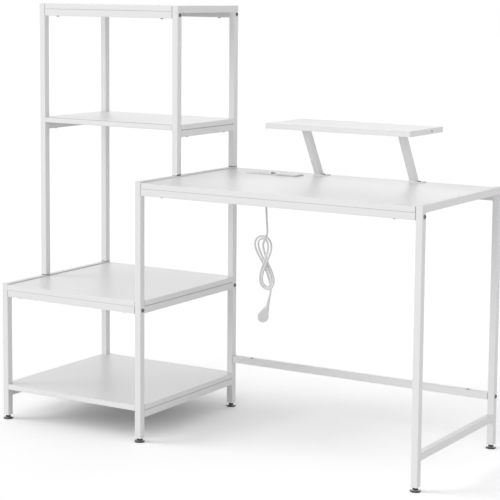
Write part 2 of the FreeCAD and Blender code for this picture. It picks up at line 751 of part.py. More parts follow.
def hank_point(angle):
    """The wound figure: each turn lies one step beside the turn before, and fans out at the loops' sides."""
    small = 1e-4
    ahead = hank_base(angle + small) - hank_base(angle - small)
    beside = V(ahead.z, 0, -ahead.x).normalize()
    fan = hank_bottom_fan if math.sin(angle) > 0 else hank_top_fan
    step = hank_step + fan * math.sin(2 * angle) ** 2
    return hank_base(angle) + beside * (step * (angle / (2 * math.pi) - hank_turns / 2))


def hank_heading(angle):
    """The direction of the wound figure at an angle."""
    small = 1e-4
    return (hank_point(angle + small) - hank_point(angle - small)).normalize()


def biarc(start, start_heading, end, end_heading):
    """Two arcs that meet smoothly and leave and arrive along the given headings."""
    chord = end - start
    both = start_heading + end_heading
    spread = 2 * (1 - start_heading.dot(end_heading))
    lean = chord.dot(both)
    if spread < 1e-9:
        reach = chord.dot(chord) / (2 * lean)
    else:
        reach = (math.sqrt(lean ** 2 + spread * chord.dot(chord)) - lean) / spread
    first = start + start_heading * reach
    second = end - end_heading * reach
    middle = (first + second) * 0.5
    return arc_through(start, first, middle), arc_through(middle, second, end)


def least_gap(wire):
    """The smallest clear gap between parts of the cord that aren't neighbours along it."""
    count = int(wire.Length / gap_sample_step)
    points = wire.discretize(Number=count)
    skip = int(3 * cord_diameter / gap_sample_step)
    least = math.inf
    for index, point in enumerate(points):
        for other in points[index + skip:]:
            least = min(least, point.distanceToPoint(other))
    return least - cord_diameter


drop_points = [gland_tail + point for point in drop_route]
parts["cord_drop"], drop_wire = tube_along(bent_route(drop_points, "cord_drop"), "cord_drop")

# The hank starts where the drop ends, winds its turns, and ends at the plug's strain relief
drop_end = drop_points[-1]
hank_center = drop_end + hank_offset
drop_heading = (drop_end - drop_points[-2]).normalize()
stations = [(drop_end + drop_heading * cord_diameter, drop_heading)]
for place, heading in hank_entry:
    stations.append((hank_center + place, V(heading).normalize()))
for index in range(hank_turns * hank_nodes_per_turn + 1):
    angle = 2 * math.pi * index / hank_nodes_per_turn
    stations.append((hank_center + hank_point(angle), hank_heading(angle)))
for place, heading in hank_exit:
    stations.append((hank_center + place, V(heading).normalize()))
hank_curves = [Part.LineSegment(drop_end, stations[0][0])]
bend_radii = []
for (start, start_heading), (end, end_heading) in zip(stations, stations[1:]):
    for curve, radius in biarc(start, start_heading, end, end_heading):
        hank_curves.append(curve)
        bend_radii.append(radius)
tail_place, tail_heading = stations[-1]
relief_start = tail_place + tail_heading * cord_diameter
hank_curves.append(Part.LineSegment(tail_place, relief_start))
parts["cord_hank"], hank_wire = tube_along(hank_curves, "cord_hank")
print("cord_hank: tightest radius %.1f mm" % min(bend_radii))
print("cord_hank: least gap to itself %.2f mm" % least_gap(hank_wire))
print("cord: length %.0f mm from gland to plug" % (drop_wire.Length + hank_wire.Length))

# Moulded flat plug: tapered strain relief, neck, and a round body set to one side of the lead, blades behind
relief = Part.makeCone(cord_diameter / 2, relief_end_radius, relief_length, V(0, 0, 0), Z_AXIS * -1)
relief_low = -relief_length
plug_center_z = relief_low - plug_neck_length
shoulder = math.radians(plug_shoulder)
shoulder_x = plug_radius * math.cos(shoulder)
shoulder_z = plug_center_z + plug_radius * math.sin(shoulder)
neck = [
    V(-relief_end_radius, 0, relief_low),
    V(relief_end_radius, 0, relief_low),
    V(shoulder_x - plug_side_shift, 0, shoulder_z),
    V(-shoulder_x - plug_side_shift, 0, shoulder_z),
]
neck_face = Part.Face(Part.makePolygon(neck + neck[:1]))
neck_face.translate(V(0, -plug_thickness / 2, 0))
plug_body = neck_face.extrude(Y_AXIS * plug_thickness)
disc = rod(V(-plug_side_shift, -plug_thickness / 2, plug_center_z), Y_AXIS, plug_radius, plug_thickness)
plug_body = plug_body.fuse(disc).removeSplitter()
rims = [edge for edge in plug_body.Edges if edge.BoundBox.YLength < plug_edge]
plug_body = plug_body.makeFillet(plug_edge, rims)
plug_body = plug_body.fuse(relief).removeSplitter()
blades = []
for offset in (-blade_pitch / 2, blade_pitch / 2):
    corner = V(offset - plug_side_shift - blade_thickness / 2, plug_thickness / 2, plug_center_z)
    blades.append(box(corner, corner + V(blade_thickness, blade_length, blade_width)))
ground_at = V(-plug_side_shift, plug_thickness / 2, plug_center_z - ground_pin_drop + blade_width / 2)
blades.append(rod(ground_at, Y_AXIS, ground_pin_radius, ground_pin_length))
blade_group = Part.makeCompound(blades)
upright = FreeCAD.Rotation(Z_AXIS * -1, tail_heading)
hang = FreeCAD.Placement(relief_start, upright.multiply(FreeCAD.Rotation(Z_AXIS, plug_turn)))
for name, shape in (("plug_body", plug_body), ("plug_blades", blade_group)):
    parts[name] = shape.transformed(hang.Matrix)

os.makedirs("parts", exist_ok=True)
for name, shape in parts.items():
    shape.exportStep(os.path.join("parts", name + ".step"))
    print("%-24s %2d solids, valid %s" % (name, len(shape.Solids), shape.isValid()))
print(len(parts), "parts")
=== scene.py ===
# %% [markdown]
# # A white computer desk with a shelf tower
# The desk arrives from CAD as a set of finished solids: tubes, boards, fasteners, a power strip and its
# lead. This lesson dresses it. We keep every solid where it is, swap the soft and turned pieces for
# finer ones, give each finish its own shader, and light the whole as a plain studio picture. The scene
# is in metres: X runs to the right along the desk, Y to the back, Z up from the floor. New shapes are
# worked out in millimetres and become metres when they are made.

# %% Load the desk
import json
import math

import bpy
import numpy as np
from mathutils import Matrix, Vector


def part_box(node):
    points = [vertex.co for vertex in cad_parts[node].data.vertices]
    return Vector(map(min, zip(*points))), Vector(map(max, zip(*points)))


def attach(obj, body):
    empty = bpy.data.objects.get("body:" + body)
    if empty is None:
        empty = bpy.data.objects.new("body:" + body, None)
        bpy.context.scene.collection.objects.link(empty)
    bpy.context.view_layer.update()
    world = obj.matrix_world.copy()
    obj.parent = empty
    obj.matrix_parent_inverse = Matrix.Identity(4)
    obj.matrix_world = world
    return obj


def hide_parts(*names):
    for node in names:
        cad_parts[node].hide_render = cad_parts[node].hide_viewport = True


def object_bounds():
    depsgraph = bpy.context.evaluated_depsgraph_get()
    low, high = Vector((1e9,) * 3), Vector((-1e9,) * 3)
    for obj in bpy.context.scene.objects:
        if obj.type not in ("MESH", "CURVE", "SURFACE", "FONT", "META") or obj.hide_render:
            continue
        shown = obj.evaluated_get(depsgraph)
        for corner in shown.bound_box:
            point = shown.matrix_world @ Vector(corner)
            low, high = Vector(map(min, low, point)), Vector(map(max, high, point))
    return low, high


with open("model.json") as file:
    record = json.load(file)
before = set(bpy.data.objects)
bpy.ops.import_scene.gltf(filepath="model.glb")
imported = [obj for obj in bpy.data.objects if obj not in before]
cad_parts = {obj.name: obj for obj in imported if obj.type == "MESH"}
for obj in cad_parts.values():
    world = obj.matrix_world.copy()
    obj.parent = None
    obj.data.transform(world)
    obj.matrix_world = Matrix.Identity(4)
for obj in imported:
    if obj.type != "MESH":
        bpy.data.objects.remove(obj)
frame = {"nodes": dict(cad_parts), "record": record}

cad_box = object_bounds()
solids = frame["nodes"]
MM = 0.001

# %% [markdown]
# ## Camera
# The picture was taken a little to the right of the desk and from just above the top of the tower. A
# camera can be aimed by hand, but here its place and angles were worked out from the straight tube
# edges, so we write the numbers down. The lens shift stands for the way the picture was cropped.

# %% Camera
picture_px = 500
sensor_mm = 36.0
focal_px = 1649.2
axis_px = (305.8, 186.0)
camera_place = (2.4831, -3.9534, 1.281)
camera_yaw, camera_pitch, camera_roll = 0.5237, -0.1191, 0.0123

sight = Vector((
    -math.sin(camera_yaw) * math.cos(camera_pitch),
    math.cos(camera_yaw) * math.cos(camera_pitch),
    math.sin(camera_pitch),
))
level_right = Vector((math.cos(camera_yaw), math.sin(camera_yaw), 0))
level_up = level_right.cross(sight)
right = math.cos(camera_roll) * level_right + math.sin(camera_roll) * level_up
up = math.cos(camera_roll) * level_up - math.sin(camera_roll) * level_right

camera_data = bpy.data.cameras.new("camera")
camera = bpy.data.objects.new("camera", camera_data)
bpy.context.scene.collection.objects.link(camera)
camera_data.sensor_width = sensor_mm
camera_data.lens = focal_px / picture_px * sensor_mm
camera_data.shift_x = (picture_px / 2 - axis_px[0]) / picture_px
camera_data.shift_y = (axis_px[1] - picture_px / 2) / picture_px
turned = Matrix((right, up, -sight)).transposed().to_4x4()
camera.matrix_world = Matrix.Translation(camera_place) @ turned
bpy.context.scene.camera = camera
print("camera lens", round(camera_data.lens, 2))
print("camera shift", round(camera_data.shift_x, 4), round(camera_data.shift_y, 4))

# %% [markdown]
# ## Mains lead
# The lead leaves the power strip through a sleeve, drops under the desktop, goes over the top of a
# figure of eight and winds it twice; below it the plug hangs. A tube mesh could be swept by hand, but a
# curve object is the better tool: one NURBS spline takes the route's points as its control points and
# bends smoothly past them, and a bevel makes it round. The turns come from one formula, so that the
# strands lie side by side.

# %% Mains lead: route
lead_diameter = 6.5 * MM
sleeve_tail = np.array((-31.0, 168.0, 667.0))
drop_route = np.array(((0, 0, 0), (0, 0, -27), (1.7, 0.3, -62.5), (4.6, 0.2, -97)))
hank_centre = sleeve_tail + drop_route[-1] + (-1.6, -8.2, -100)
hank_turns, hank_points_per_turn = 2, 28
hank_step, hank_rise, hank_tilt = 7.3, 4.1, 0.11
top_reach, bottom_reach = 78.0, 69.0
top_half_width, bottom_half_width = 23.0, 15.5
top_fan, bottom_fan = 4.5, 0.5


def between(top, bottom, swing):
    """A size that is top where the sine of the angle is -1, bottom where it is 1, and straight between."""
    return (top + bottom) / 2 - (top - bottom) / 2 * swing


def hank_ring(angle):
    """The mean figure of eight: z is a sine of the angle, x a sine of twice it, and y parts the strands."""
    swing = np.sin(angle)
    z = -between(top_reach, bottom_reach, swing) * swing
    x = between(top_half_width, bottom_half_width, swing) * np.sin(2 * angle) - hank_tilt * z
    return np.stack((x, hank_rise * np.cos(angle), z), axis=-1)


def hank_strand(angle):
    """The wound figure: the ring moved beside itself by a step for each turn, and by a fan at the sides."""
    small_angle = 1e-4
    ahead = hank_ring(angle + small_angle) - hank_ring(angle - small_angle)
    beside = np.stack((ahead[:, 2], 0 * angle, -ahead[:, 0]), axis=-1)
    beside /= np.linalg.norm(beside, axis=1, keepdims=True)
    fan = np.where(np.sin(angle) > 0, bottom_fan, top_fan) * np.sin(2 * angle) ** 2
    turn_from_middle = angle / (2 * np.pi) - hank_turns / 2
    return hank_ring(angle) + beside * ((hank_step + fan) * turn_from_middle)[:, None]


angles = np.linspace(0, 2 * np.pi * hank_turns, hank_turns * hank_points_per_turn + 1)
hank_entry = hank_centre + ((2.1, 8.2, 93.5), (-3.6, 9.2, 79), (-15.5, 10.2, 57), (-8.0, 8.6, 32))
hank_exit = hank_centre + ((8.8, 7.2, -40), (14.8, 9.6, -71), (13.7, 9.6, -86))
plug_heading = np.array((-0.24, 0, -0.97))
plug_heading /= np.linalg.norm(plug_heading)
plug_start = hank_exit[-1] + plug_heading * lead_diameter / MM
held_in_sleeve, held_in_plug = 5, 6
route = np.concatenate((
    sleeve_tail + ((0, 0, held_in_sleeve),), sleeve_tail + drop_route, hank_entry,
    hank_centre + hank_strand(angles), hank_exit, plug_start + plug_heading * ((0,), (held_in_plug,)),
)) * MM
print("lead points", len(route))

# %% Mains lead: curve
# A curve's box is the box of its points, grown by each point's radius in metres. So the points carry the
# lead's own radius, and the bevel, which multiplies it, is 1.
lead_curve = bpy.data.curves.new("lead", "CURVE")
lead_curve.dimensions = "3D"
lead_curve.bevel_depth = 1.0
lead_curve.bevel_resolution = 5
lead_curve.resolution_u = 6
lead_curve.use_fill_caps = True
spline = lead_curve.splines.new("NURBS")
spline.points.add(len(route) - 1)
spline.points.foreach_set("co", np.c_[route, np.ones(len(route))].ravel())
spline.points.foreach_set("radius", np.full(len(route), lead_diameter / 2))
spline.order_u = 3
spline.use_endpoint_u = True
lead = bpy.data.objects.new("lead", lead_curve)
bpy.context.scene.collection.objects.link(lead)
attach(lead, "desk_frame")
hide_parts("cord_drop", "cord_hank")
print("lead control length", round(float(np.linalg.norm(np.diff(route, axis=0), axis=1).sum()), 3), "m")

# %% [markdown]
# ## Skins over rings
# Sleeve, plug and feet are all round or nearly round forms. Each can be written as rings of points: a
# ring is a closed line around an axis, and the next ring lies a step further along. We compute all the
# rings as one numpy array and let one function skin it: quads between neighbouring rings, a fill at
# each end.

# %% Skin
def skin(name, rings, body, smooth_deg=40):
    """A closed mesh over rings[i, j, xyz]: quads (i, j), (i, j+1), (i+1, j+1), (i+1, j); j goes round."""
    count, sides = rings.shape[:2]
    index = np.arange(count * sides).reshape(count, sides)
    beside = np.roll(index, -1, axis=1)
    quads = np.stack((index[:-1], beside[:-1], beside[1:], index[1:]), axis=-1).reshape(-1, 4)
    mesh = bpy.data.meshes.new(name)
    faces = quads.tolist() + [index[0, ::-1].tolist(), index[-1].tolist()]
    mesh.from_pydata((rings.reshape(-1, 3) * MM).tolist(), [], faces)
    mesh.polygons.foreach_set("use_smooth", np.ones(len(mesh.polygons), bool))
    mesh.set_sharp_from_angle(angle=math.radians(smooth_deg))
    piece = bpy.data.objects.new(name, mesh)
    bpy.context.scene.collection.objects.link(piece)
    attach(piece, body)
    return piece


def turned_rings(profile, sides=48):
    """Rings of a turned form: profile rows are (radius, height), x = radius cos(a), y = radius sin(a)."""
    around = np.linspace(0, 2 * np.pi, sides, endpoint=False)
    radius, height = np.asarray(profile, float).T
    flat = np.stack((np.cos(around), np.sin(around)), axis=-1)
    return np.concatenate((
        radius[:, None, None] * flat,
        np.broadcast_to(height[:, None, None], (len(height), sides, 1)),
    ), axis=-1)


print("skin ready")

# %% [markdown]
# ## Sleeve at the strip
# Where the lead leaves the strip's casing it is held by a moulded sleeve with a flange and soft ribs,
# so that it bends gently there. A cone with loop cuts would do; here its radius is a straight taper
# with a cosine taken off it.

# %% Sleeve
sleeve_length, sleeve_rows = 27.0, 85
sleeve_top_radius, sleeve_tail_radius = 6.5, 4.4
sleeve_ribs, rib_depth = 6, 0.7
ribs_from, ribs_to = 0.08, 0.92
flange_profile = ((4.2, 33.0), (4.2, 29.0), (7.4, 29.0), (8.0, 28.4), (8.0, 27.5), (7.5, 27.0))
tail_profile = ((3.7, -0.5),)
along = np.linspace(0, 1, sleeve_rows)
rib = 0.5 - 0.5 * np.cos(2 * np.pi * sleeve_ribs * along)
ribbed = (along > ribs_from) & (along < ribs_to)
taper = sleeve_top_radius + (sleeve_tail_radius - sleeve_top_radius) * along - rib_depth * rib * ribbed
sleeve_profile = np.concatenate((
    flange_profile,
    np.stack((taper, sleeve_length * (1 - along)), axis=-1),
    tail_profile,
))[::-1]
sleeve = skin("lead_sleeve", turned_rings(sleeve_profile) + sleeve_tail, "desk_frame")
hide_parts("cord_gland")
print("sleeve faces", len(sleeve.data.polygons))

# %% [markdown]
# ## Plug
# The plug is one soft moulding: a ribbed strain relief that widens into a flat teardrop, set to one
# side of the lead. Box modelling with subdivision is the usual way. A run of superellipse sections is
# shorter to write: each has its own half width, half thickness, sideways shift and squareness, and the
# outline follows the straight shoulders and the round end of the moulding. It hangs turned a little,
# with its blades to the back.

# %% Plug: sections
plug_radius, plug_half_thick, plug_edge = 16.5, 7.5, 3.0
plug_side_shift, plug_turn = 5.5, math.radians(30)
relief_end, relief_start_radius, relief_end_radius = 38.0, 3.4, 6.0
disc_at = relief_end + 33.0
shoulder_turn, end_turn = math.radians(20), math.radians(89)
shoulder_at = disc_at - plug_radius * math.sin(shoulder_turn)
relief_rows, neck_rows, disc_rows = 96, 30, 60
station = np.concatenate((
    np.linspace(0, relief_end, relief_rows),
    np.linspace(relief_end, shoulder_at, neck_rows)[1:],
    disc_at + plug_radius * np.sin(np.linspace(-shoulder_turn, end_turn, disc_rows))[1:],
))
print("plug sections", len(station))


# %% Plug: sizes of the sections
def ease(value, low, high):
    """0 below low, 1 above high, and 3t^2 - 2t^3 between."""
    t = np.clip((value - low) / (high - low), 0, 1)
    return t * t * (3 - 2 * t)


grooves, groove_depth = 7, 0.8
grooves_from, grooves_length = 4, 30
along_grooves = np.clip((station - grooves_from) / grooves_length, 0, 1)
groove = 0.5 - 0.5 * np.cos(2 * np.pi * grooves * along_grooves)
relief = np.interp(station, (0, relief_end), (relief_start_radius, relief_end_radius))
relief -= groove_depth * groove
shoulder_half = plug_radius * math.cos(shoulder_turn)
neck = np.interp(station, (relief_end, shoulder_at), (relief_end_radius, shoulder_half))
round_end = np.sqrt(np.clip(plug_radius ** 2 - (station - disc_at) ** 2, 0, None))
half_width = np.where(station < relief_end, relief, np.where(station < shoulder_at, neck, round_end))
side_shift = np.interp(station, (relief_end, shoulder_at), (0, plug_side_shift))
swell_from, swell_to = relief_end - 4, relief_end + 9
last = np.clip((station - disc_at - plug_radius + plug_edge) / plug_edge, 0, 1)
half_thick = relief + (plug_half_thick - relief) * ease(station, swell_from, swell_to)
half_thick -= plug_edge * (1 - np.sqrt(1 - last ** 2))
round_power, square_power = 2, 5.2
squareness = round_power + (square_power - round_power) * ease(station, swell_from, shoulder_at)
print("plug half width", round(float(half_width.max()), 2), "thickness", round(float(half_thick.max()), 2))

# %% Plug: skin
plug_sides = 96
around = np.linspace(0, 2 * np.pi, plug_sides, endpoint=False)
power = (2 / squareness)[:, None]
across = half_width[:, None] * np.sign(np.cos(around)) * np.abs(np.cos(around)) ** power
across -= side_shift[:, None]
depth = half_thick[:, None] * np.sign(np.sin(around)) * np.abs(np.sin(around)) ** power
to_back = np.array((0, 1.0, 0))
across_axis = math.cos(plug_turn) * np.cross(plug_heading, to_back) + math.sin(plug_turn) * to_back
depth_axis = np.cross(plug_heading, across_axis)
plug_rings = (plug_start + station[:, None, None] * plug_heading
              + across[..., None] * across_axis + depth[..., None] * depth_axis)
plug = skin("plug_moulding", plug_rings, "desk_frame", smooth_deg=50)
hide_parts("plug_body")
print("plug faces", len(plug.data.polygons))

# %% [markdown]
# ## Levelling feet
# Each leg ends in a screw foot: a dark pad with a gripping rim, a pale plated dish on top of it, a dark
# collar, and a plated threaded stud that goes up into the leg. The stud shows when the foot is screwed
# out, so it gets a real thread: its radius is a triangle wave of height minus turn, which is a helix.
# The rim's grip is a cosine around it.

# %% Levelling feet: profile
stud_pitch, stud_base, stud_top, stud_radius = 1.25, 12.0, 42.0, 4.0
rows_per_pitch, first_row_rise = 8, 0.05
pad_profile = np.array((
    (12.4, 0.0), (13.2, 0.2), (14.0, 1.2), (14.0, 1.8), (14.0, 3.4), (14.0, 4.0), (13.5, 4.5),
    (12.9, 4.6), (12.7, 4.9), (11.5, 5.5), (9.8, 6.2), (8.4, 6.5),
    (7.5, 6.6), (7.5, 7.2), (7.2, 7.5), (7.2, 10.8), (7.5, 11.1), (7.5, 11.8), (7.2, 12.0),
    (stud_radius, stud_base),
))
rim_from, rim_to = 3, 5
dish_from, dish_to = 8, 11
stud_rows = int((stud_top - stud_base) / stud_pitch * rows_per_pitch)
stud_height = np.linspace(stud_base + first_row_rise, stud_top, stud_rows)
stud_profile = np.stack((np.full(stud_rows, stud_radius), stud_height), axis=-1)
foot_profile = np.concatenate((pad_profile, stud_profile))
print("foot rows", len(foot_profile))

# %% Levelling feet: thread and grip
foot_sides = 96
thread_share, thread_runout = 0.15, 2.5
grip_teeth, grip_share = 32, 0.022
foot_rings = turned_rings(foot_profile, foot_sides)
turn = np.arange(foot_sides) / foot_sides
thread = np.abs((stud_height[:, None] / stud_pitch - turn) % 1 - 0.5) * 2
runout = ease(stud_top - stud_height, 0, thread_runout)[:, None]
foot_rings[len(pad_profile):, :, :2] *= (1 - thread_share * (1 - thread * runout))[..., None]
grip = 1 - grip_share * (0.5 + 0.5 * np.cos(2 * np.pi * grip_teeth * turn))
foot_rings[rim_from:rim_to, :, :2] *= grip[:, None]
print("foot rings", foot_rings.shape)

# %% Levelling feet: place
feet = []
for node in sorted(solids):
    if node.endswith("_foot"):
        low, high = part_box(node)
        centre = np.array(((low.x + high.x) / 2, (low.y + high.y) / 2, low.z)) / MM
        foot = skin(node + "_turned", foot_rings + centre, node, smooth_deg=35)
        ring_of_face = np.arange(len(foot.data.polygons)) // foot_sides
        plated = (ring_of_face >= dish_from) & (ring_of_face < dish_to)
        plated |= (ring_of_face >= len(pad_profile)) & (ring_of_face < len(foot_profile))
        foot.data.polygons.foreach_set("material_index", plated.astype(np.int32))
        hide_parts(node)
        feet.append(foot)
print("feet", [foot.name for foot in feet])

# %% [markdown]
# ## Shader arithmetic
# Finishes are written as sums. A node tree can be drawn by hand, but Python reads better when a wire
# between two nodes behaves like a number: this class wraps an output socket, and adding or multiplying
# it adds a Math node.

# %% Wire
class Wire:
    """One output socket of a node tree. Arithmetic between wires and numbers adds Math nodes."""

    def __init__(self, tree, socket=None):
        self.tree = tree
        self.socket = socket

    def node(self, kind, settings=None, sockets=None, out=0):
        """Adds a node: settings are set first, then sockets get values or links. Returns one output."""
        made = self.tree.nodes.new(kind)
        for name, value in (settings or {}).items():
            setattr(made, name, value)
        for name, value in (sockets or {}).items():
            if isinstance(value, Wire):
                self.tree.links.new(value.socket, made.inputs[name])
            else:
                made.inputs[name].default_value = value
        return Wire(self.tree, made.outputs[out])

    def sum(self, operation, first, second=0.0):
        """A Math node on one or two values, which are wires or numbers."""
        return self.node("ShaderNodeMath", {"operation": operation}, {0: first, 1: second})

    def __add__(self, other):
        return self.sum("ADD", self, other)

    def __radd__(self, other):
        return self.sum("ADD", other, self)

    def __sub__(self, other):
        return self.sum("SUBTRACT", self, other)

    def __rsub__(self, other):
        return self.sum("SUBTRACT", other, self)

    def __mul__(self, other):
        return self.sum("MULTIPLY", self, other)

    def __rmul__(self, other):
        return self.sum("MULTIPLY", other, self)

    def __lt__(self, other):
        return self.sum("LESS_THAN", self, other)

    def __gt__(self, other):
        return self.sum("LESS_THAN", other, self)

    def __abs__(self):
        return self.sum("ABSOLUTE", self)

    def least(self, other):
        """The smaller of this wire and the other value."""
        return self.sum("MINIMUM", self, other)

    def axes(self):
        """The x, y and z of this vector, as three wires."""
        split = self.node("ShaderNodeSeparateXYZ", None, {"Vector": self}).socket.node
        return [Wire(self.tree, socket) for socket in split.outputs]

    def fade(self, width):
        """1 where this wire is 0 or less, falling smoothly to 0 at width."""
        return self.node("ShaderNodeMapRange", {"interpolation_type": "SMOOTHSTEP"},
                         {"Value": self, "From Min": 0.0, "From Max": width, "To Min": 1.0, "To Max": 0.0})

    def noise(self, scale, detail=2.0):
        """A noise around 0.5 on this vector; scale counts features per metre."""
        return self.node("ShaderNodeTexNoise", None, {"Vector": self, "Scale": scale, "Detail": detail})

    def mix(self, first, second):
        """The colour first where this wire is 0 and second where it is 1."""
        made = self.node("ShaderNodeMix", {"data_type": "RGBA"}, {"Factor": self}, out=2)
        for place, shade in ((6, first), (7, second)):
            entry = made.socket.node.inputs[place]
            if isinstance(shade, Wire):
                self.tree.links.new(shade.socket, entry)
            else:
                entry.default_value = (*shade, 1.0)
        return made


print("wire operators ready")


# %% Finish
def square_sum(*sides):
    """The square of a distance, from its sides."""
    return sum(side * side for side in sides)


def finish(name, base, **constants):
    """A material. base turns the place on the piece into wires for the shader and a height for its bump."""
    material = bpy.data.materials.new(name)
    material.use_nodes = True
    tree = material.node_tree
    shader = tree.nodes["Principled BSDF"]
    for socket, value in constants.items():
        shader.inputs[socket].default_value = value
    place = Wire(tree).node("ShaderNodeTexCoord", out=3)
    made = base(place)
    height, strength, distance = made.pop("height")
    bump = {"Height": height, "Strength": strength, "Distance": distance}
    made["Normal"] = place.node("ShaderNodeBump", None, bump)
    for socket, value in made.items():
        tree.links.new(value.socket, shader.inputs[socket])
    return material


print("finish ready")

# %% [markdown]
# ## Powder-coated steel
# The tubes are sprayed with white powder and baked. The coat flows into a faint orange peel, about a
# millimetre from dimple to dimple, with a satin gloss that differs slightly from place to place. A
# picture of the coat could be wrapped round each tube, but two noises do the same at any size.

# %% Powder coat
coat_scale, peel_scale = 9.0, 850.0
coat_roughness, coat_roughness_swing = 0.36, 0.10
peel_strength, peel_height = 0.10, 0.4 * MM


def powder_coat(place):
    """Colour and gloss follow a slow noise; the height is a fine noise for the peel."""
    slow = place.noise(coat_scale)
    peel = place.noise(peel_scale, detail=1.0)
    return {
        "Base Color": slow.mix((0.840, 0.841, 0.845), (0.866, 0.866, 0.868)),
        "Roughness": coat_roughness + coat_roughness_swing * slow,
        "height": (peel, peel_strength, peel_height),
    }


steel_white = finish("powder_coated_steel", powder_coat)
print(steel_white.name)

# %% [markdown]
# ## Painted shade on the steel
# Where one tube is bolted or stood against another, or a board lies against a tube, a thin line of
# painted shade stands for the shade in the joint, and the two unused screw holes of the stretcher get
# dark rims of painted shade. Real gaps would be finer than a pixel, so those tubes get their own copy of
# the coat with the painted shade in it, placed by the tube's own box.

# %% Painted shade on the steel
hole_inset, hole_rim = 65 * MM, 6.0 * MM
frame_lip = 3.0 * MM
painted_steel_shade = {
    "holes": (hole_rim, (0.01, 0.01, 0.01)),
    "ends": (1.8 * MM, (0.15, 0.15, 0.15)),
    "foot": (6.0 * MM, (0.03, 0.03, 0.03)),
    "base": (2.0 * MM, (0.10, 0.10, 0.10)),
    "lip": (2.0 * MM, (0.62, 0.62, 0.62)),
}
tubes_with_painted_shade = {
    "top_front_rail": ("ends",), "middle_front_rail": ("ends",), "desk_front_rail": ("ends",),
    "back_stretcher": ("ends", "holes"),
    "upper_right_front_post": ("foot",), "upper_right_rear_post": ("base",),
    "upper_left_front_post": ("base",), "upper_left_rear_post": ("base",),
    "left_top_rail": ("lip",),
}


def coat_with_painted_shade(node, marks):
    """The coat with painted shade: each mark full where its reach is 0 or less and gone where the reach is
    its width.

    ends: the ends of the front face. foot: the foot of the right face. base: all round the foot. lip: the
    line on the right face where a board lies a little below its top. holes: two rims on the top face, where
    the reach is the square of the distance from the hole's axis over the rim's radius, less half the radius.
    """
    low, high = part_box(node)
    middle = (low + high) / 2
    hole_offset = high.x - middle.x - hole_inset

    def coat(place):
        made = powder_coat(place)
        x, y, z = place.axes()
        reach = {
            "ends": lambda: (x - low.x).least(high.x - x) + abs(y - low.y),
            "foot": lambda: (z - low.z) + abs(high.x - x),
            "base": lambda: z - low.z,
            "lip": lambda: abs(high.z - frame_lip - z) + abs(high.x - x),
            "holes": lambda: (square_sum(abs(x - middle.x) - hole_offset, y - middle.y) * (1 / hole_rim)
                              + abs(high.z - z) - hole_rim / 2),
        }
        # Each mark darkens the coat's colour near a joint or hole with painted shade.
        for mark in marks:
            width, shade = painted_steel_shade[mark]
            made["Base Color"] = reach[mark]().fade(width).mix(made["Base Color"], shade)
        return made

    return finish(node + "_coat", coat)


tube_finish = {node: coat_with_painted_shade(node, marks) for node, marks in tubes_with_painted_shade.items()}
print("marked tubes", len(tube_finish))

# %% [markdown]
# ## Coated boards
# The boards are chipboard faced with white melamine, with a thin band glued round the edges. The facing
# has a very fine stipple and a soft shine. The glue line of the band shows as a hair line just in from
# each edge. The arrises that lie against steel, and the front top arris of the upper shelf, are grey with
# painted shade, which stands for the shade at these edges. A painted texture would need a map for each
# board, so instead each board gets its own copy of the finish, which knows that board's box.

# %% Coated boards: joints
seam_inset, seam_half_width = 0.9 * MM, 0.12 * MM
bore_radius, bore_from_back, bore_fade = 4.2 * MM, 72 * MM, 0.1
# Painted shade at the joints and the front arris: under, right, ends, front. bore is a dark disc at the
# dowel hole.
joint_marks = {
    "under": (1.1 * MM, (0.33, 0.33, 0.33)),
    "right": (2.4 * MM, (0.10, 0.10, 0.10)),
    "ends": (1.8 * MM, (0.15, 0.15, 0.15)),
    "front": (2.2 * MM, (0.40, 0.40, 0.40)),
    "bore": (bore_radius, (0.05, 0.045, 0.04)),
}
joints_of = {
    "top_shelf": ("under", "ends"),
    "upper_shelf": ("under", "right", "front"),
    "middle_shelf": ("under", "right"),
    "bottom_shelf": ("under", "right"),
    "desktop": ("under", "ends"),
    "monitor_shelf": ("bore",),
}

# %% Coated boards: facing
facing_scale, stipple_scale = 6.0, 2200.0
stipple_strength, stipple_height = 0.06, 0.2 * MM
seam_shade = (0.60, 0.60, 0.59)


def coated_board(node, joints):
    """A board's facing: distances to the sides of its box give the glue line and the reach of each joint's
    painted shade.

    The bore's reach is the square of the distance from its axis over its radius, and grows with the depth.
    """
    low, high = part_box(node)
    middle = (low + high) / 2

    def facing(place):
        x, y, z = place.axes()
        to_side = (x - low.x).least(high.x - x)
        to_front = y - low.y
        inset = to_side.least(to_front).least(high.y - y)
        seam = abs(inset - seam_inset) < seam_half_width
        slow = place.noise(facing_scale)
        stipple = place.noise(stipple_scale, detail=1.0)
        tone = slow.mix((0.855, 0.855, 0.857), (0.875, 0.875, 0.875))
        tone = seam.mix(tone, seam_shade)
        reach = {
            "under": lambda: z - low.z,
            "right": lambda: (z - low.z) + (high.x - x),
            "ends": lambda: to_side + abs(to_front),
            "front": lambda: abs(to_front) + (high.z - z),
            "bore": lambda: (square_sum(y - (high.y - bore_from_back), z - middle.z) * (1 / bore_radius)
                             + bore_fade * (high.x - x)),
        }
        # Each joint's painted shade darkens the tone near it, and so does the bore's disc.
        for joint in joints:
            width, shade = joint_marks[joint]
            tone = reach[joint]().fade(width).mix(tone, shade)
        return {
            "Base Color": tone,
            "Roughness": 0.30 + 0.08 * slow + 0.06 * stipple,
            "height": (stipple - seam, stipple_strength, stipple_height),
        }

    return finish(node + "_melamine", facing)


board_finish = {node: coated_board(node, joints) for node, joints in joints_of.items()}
print("boards", len(board_finish))

# %% [markdown]
# ## Small metal and plastic
# Fasteners are blackened steel, slightly mottled and oily; the plated parts are bright zinc with a
# cloudy grain; the mouldings carry the fine spark texture of their mould. One recipe covers them: a
# tone between two colours that follows a noise, and a roughness and a small height that follow a finer
# one. A moulding that stands on another piece may also have a dark foot, painted shade for the gap along
# its lower edge, and rims of painted shade at its outlets.

# %% Small finishes: recipe
# Painted shade for the gap along a moulding's foot and round its outlets.
gap_shade = (0.05, 0.05, 0.052)
rim_width = 1.2 * MM
grain_height = 0.2 * MM


